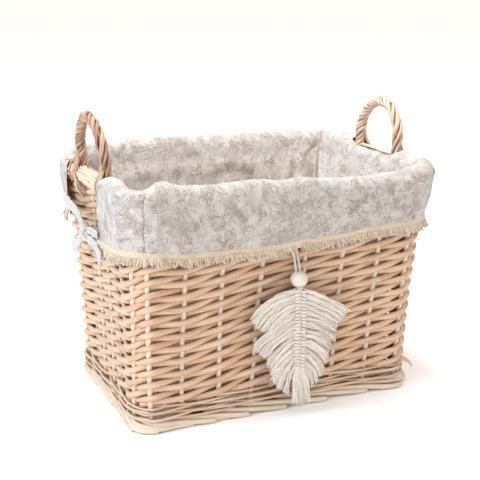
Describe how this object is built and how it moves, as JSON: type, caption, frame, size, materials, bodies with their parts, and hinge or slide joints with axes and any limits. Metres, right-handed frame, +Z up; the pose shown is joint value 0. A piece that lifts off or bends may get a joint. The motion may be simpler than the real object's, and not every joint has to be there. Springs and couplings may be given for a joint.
{
  "type": "lined wicker laundry basket",
  "caption": "Rectangular woven willow basket with twisted end handles, a lift-out fabric liner folded over the rim with a fringed cuff, and a knotted cord leaf hanging on the front.",
  "frame": {"origin": "on the floor under the middle of the basket", "axes": "+X along the length, -Y towards the front with the hanging leaf, +Z up"},
  "size_m": [0.4044, 0.2801, 0.3442],
  "materials": {
    "willow_rods": "peeled willow, satin",
    "willow_stakes": "peeled willow, satin",
    "willow_border": "peeled willow, satin",
    "willow_wale": "thin willow, satin",
    "willow_base": "peeled willow, matt",
    "willow_handle": "twisted willow, satin",
    "liner_fabric": "plain-woven cotton and linen, printed",
    "tie_fabric": "plain-woven cotton and linen",
    "fringe": "cream cotton fringe",
    "bead_wood": "turned pale wood, satin",
    "cotton_cord": "natural cotton cord"
  },
  "bodies": {
    "basket": {"back_stakes": "willow_stakes", "back_weave": "willow_rods", "base_sticks": "willow_base", "base_weave": "willow_base", "corner_posts": "willow_stakes", "foot_border_back": "willow_border", "foot_border_front": "willow_border", "foot_border_left": "willow_border", "foot_border_right": "willow_border", "foot_wale_back": "willow_wale", "foot_wale_front": "willow_wale", "foot_wale_left": "willow_wale", "foot_wale_right": "willow_wale", "front_stakes": "willow_stakes", "front_weave": "willow_rods", "handle_left_bow": "willow_handle", "handle_left_lashing": "willow_handle", "handle_left_wrap": "willow_handle", "handle_right_bow": "willow_handle", "handle_right_lashing": "willow_handle", "handle_right_wrap": "willow_handle", "left_stakes": "willow_stakes", "left_weave": "willow_rods", "right_stakes": "willow_stakes", "right_weave": "willow_rods", "rim_border_back": "willow_border", "rim_border_front": "willow_border", "rim_border_left": "willow_border", "rim_border_right": "willow_border"},
    "liner": {"cuff_back": "liner_fabric", "cuff_front": "liner_fabric", "cuff_left_back": "liner_fabric", "cuff_left_front": "liner_fabric", "cuff_right_back": "liner_fabric", "cuff_right_front": "liner_fabric", "liner_back": "liner_fabric", "liner_bottom": "liner_fabric", "liner_front": "liner_fabric", "liner_left": "liner_fabric", "liner_right": "liner_fabric", "tie_left_back": "tie_fabric", "tie_left_front": "tie_fabric", "tie_left_knot": "tie_fabric", "tie_right_back": "tie_fabric", "tie_right_front": "tie_fabric", "tie_right_knot": "tie_fabric", "trim_back": "fringe", "trim_front": "fringe", "trim_left_back": "fringe", "trim_left_front": "fringe", "trim_right_back": "fringe", "trim_right_front": "fringe"},
    "tassel_loop": {"tassel_loop": "cotton_cord"},
    "tassel": {"tassel_cord": "cotton_cord", "leaf_spine": "cotton_cord", "leaf_fronds_left": "cotton_cord", "leaf_fronds_right": "cotton_cord", "leaf_tail": "cotton_cord"},
    "bead": {"tassel_bead": "bead_wood"}
  },
  "joints": [
    {"name": "liner_lift", "type": "slide", "parent": "basket", "child": "liner", "axis": [0, 0, 1], "range_m": [0, 0.33]},
    {"name": "tassel_swing", "type": "hinge", "parent": "basket", "child": "tassel_loop", "pos_m": [0.0105, -0.11663, 0.202], "axis": [-1, 0, 0], "range_deg": [0, 25]},
    {"name": "tassel_sway", "type": "hinge", "parent": "tassel_loop", "child": "tassel", "pos_m": [0.0105, -0.12053, 0.1964], "axis": [0, 0.944, -0.33], "range_deg": [-12, 12]},
    {"name": "bead_slide", "type": "slide", "parent": "tassel", "child": "bead", "axis": [0, 0.33, 0.944], "range_m": [0, 0.006]}
  ]
}
